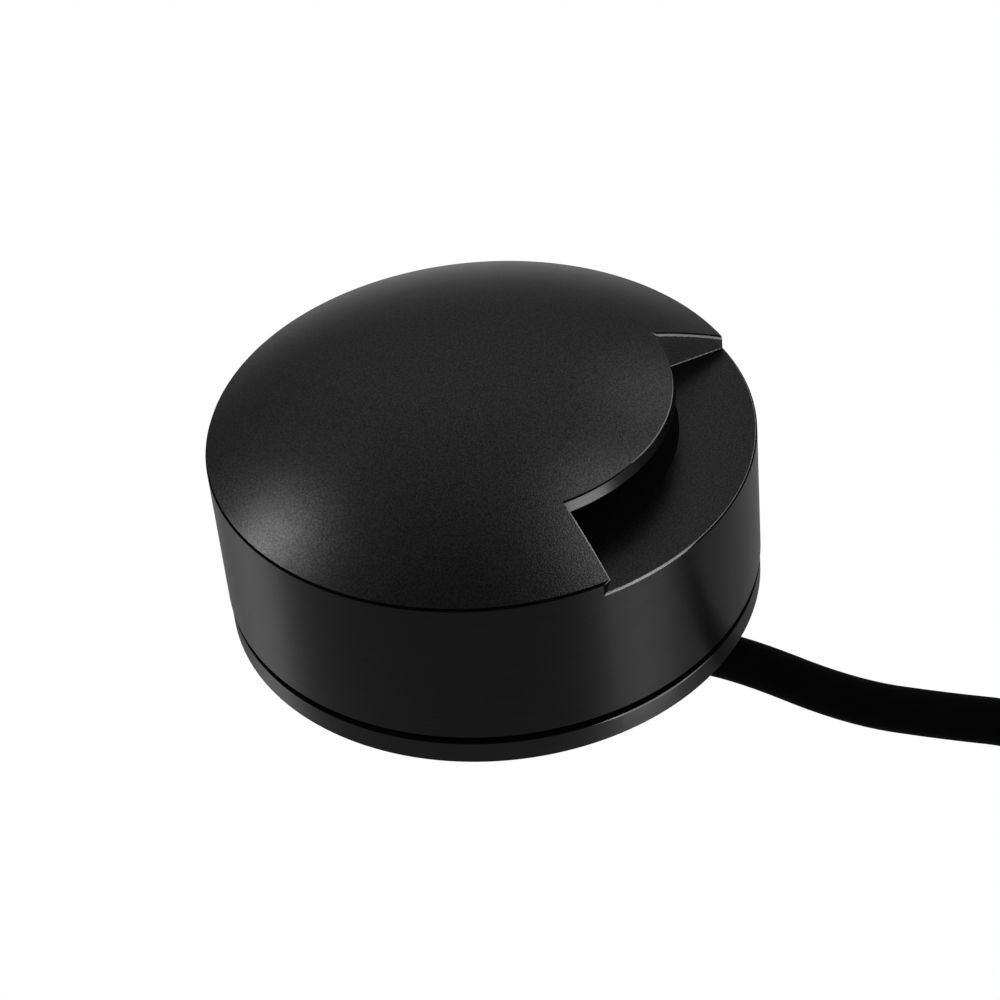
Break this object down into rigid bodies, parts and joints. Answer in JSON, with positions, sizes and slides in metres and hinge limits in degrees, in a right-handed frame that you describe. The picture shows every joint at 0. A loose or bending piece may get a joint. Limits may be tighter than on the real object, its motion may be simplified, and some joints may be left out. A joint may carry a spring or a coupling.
{
  "type": "outdoor wall light",
  "caption": "Small round black outdoor wall light with a low domed top; light leaves sideways under a curved lip cut into its rim, and the head twists onto a wall base.",
  "frame": {"origin": "centre of the base's back face, on the wall", "axes": "+Z out of the wall along the round body's axis, -Y towards the cut-out that the light leaves by"},
  "size_m": [0.0772, 0.1819, 0.0429],
  "materials": {
    "housing_black": "satin black, fine turned lines on the side",
    "base_black": "satin black",
    "seal_rubber": "matte",
    "window_clear": "clear",
    "gasket_rubber": "matte",
    "bracket_metal": "black anodised",
    "pad_grey": "soft matte",
    "lamp_board": "white solder mask",
    "lamp_yellow": "phosphor",
    "screw_steel": "plain",
    "lead_red": "wire insulation",
    "lead_black": "wire insulation",
    "driver_green": "green solder mask",
    "ferrite_grey": "sintered ferrite",
    "winding_copper": "enamelled copper",
    "can_metal": "bright can",
    "chip_black": "moulded",
    "resistor_dark": "ceramic, glazed",
    "terminal_white": "nylon",
    "nut_brass": "nickel plated",
    "cable_black": "matte black jacket",
    "core_brown": "wire insulation",
    "core_blue": "wire insulation",
    "tie_black": "nylon",
    "ferrule_tin": "tinned"
  },
  "bodies": {
    "base": {"base_plate": "base_black", "seal_ring": "seal_rubber", "cable_seal": "seal_rubber", "gland_nut": "nut_brass", "cable_entry": "cable_black", "supply_lead_brown": "core_brown", "supply_lead_blue": "core_blue", "cable": "cable_black", "cable_coil": "cable_black", "coil_tie": "tie_black", "core_brown": "core_brown", "core_blue": "core_blue", "core_ferrules": "ferrule_tin"},
    "head": {"housing": "housing_black", "light_window": "window_clear", "window_gasket": "gasket_rubber", "led_bracket": "bracket_metal", "thermal_pad": "pad_grey", "led_board": "lamp_board", "led_packages": "lamp_yellow", "bracket_screws": "screw_steel", "led_lead_plus": "lead_red", "led_lead_minus": "lead_black", "driver_board": "driver_green", "board_screws": "screw_steel", "inductor_core": "ferrite_grey", "inductor_winding": "winding_copper", "smoothing_capacitors": "can_metal", "bridge_rectifier": "chip_black", "driver_chip": "chip_black", "chip_resistors": "resistor_dark", "lead_terminals": "terminal_white"}
  },
  "joints": [
    {"name": "housing_twist", "type": "hinge", "parent": "base", "child": "head", "pos_m": [0, 0, 0.0085], "axis": [0, 0, 1], "range_deg": [0, 30]}
  ]
}
